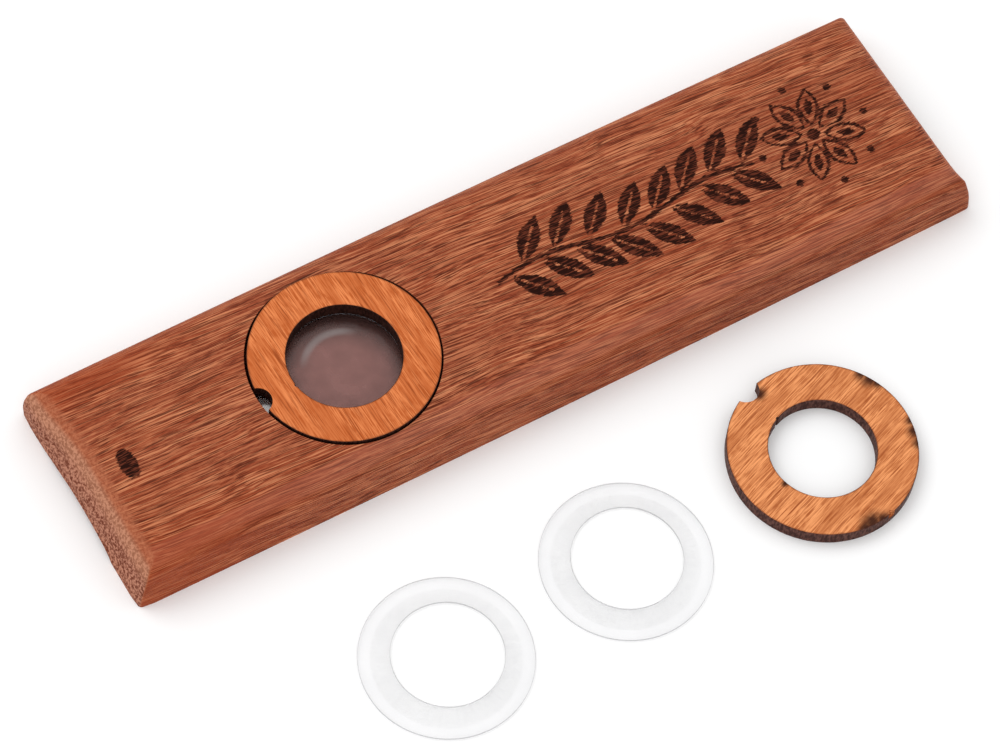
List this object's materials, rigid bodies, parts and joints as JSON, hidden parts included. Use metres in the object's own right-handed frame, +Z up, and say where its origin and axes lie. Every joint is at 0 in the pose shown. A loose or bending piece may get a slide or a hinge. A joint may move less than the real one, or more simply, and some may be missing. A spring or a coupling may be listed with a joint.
{
  "type": "kazoo",
  "caption": "Flat wooden kazoo: a domed bar with a round film membrane held in its top by a notched ring, with loose spare ring and membranes beside it.",
  "frame": {"origin": "middle of the flat underside of the bar", "axes": "+X along the bar to the mouth end, -X to the marked end, -Y to the side where the spares lie, +Z up, square to the underside"},
  "size_m": [0.125, 0.067, 0.0082],
  "materials": {
    "hardwood": "oiled open grain, satin",
    "ring_wood": "laser-cut, sanded face, burnt edge",
    "clear_plastic": "clear, gloss",
    "film": "thin translucent film"
  },
  "bodies": {
    "body": {"body": "hardwood"},
    "membrane": {"membrane_carrier": "clear_plastic", "membrane_film": "film"},
    "retaining_ring": {"retaining_ring": "ring_wood"},
    "spare_retaining_ring": {"spare_retaining_ring": "ring_wood"},
    "spare_membrane_1": {"spare_carrier_1": "clear_plastic", "spare_film_1": "film"},
    "spare_membrane_2": {"spare_carrier_2": "clear_plastic", "spare_film_2": "film"}
  },
  "joints": [
    {"name": "membrane_lift", "type": "slide", "parent": "body", "child": "membrane", "axis": [0, 0, 1], "range_m": [0, 0.02]},
    {"name": "ring_lift", "type": "slide", "parent": "membrane", "child": "retaining_ring", "axis": [0, 0, 1], "range_m": [0, 0.02]},
    {"name": "spare_ring_lift", "type": "slide", "parent": "body", "child": "spare_retaining_ring", "axis": [0, 0, 1], "range_m": [0, 0.03]},
    {"name": "spare_membrane_1_lift", "type": "slide", "parent": "body", "child": "spare_membrane_1", "axis": [0, 0, 1], "range_m": [0, 0.03]},
    {"name": "spare_membrane_2_lift", "type": "slide", "parent": "body", "child": "spare_membrane_2", "axis": [0, 0, 1], "range_m": [0, 0.03]}
  ]
}
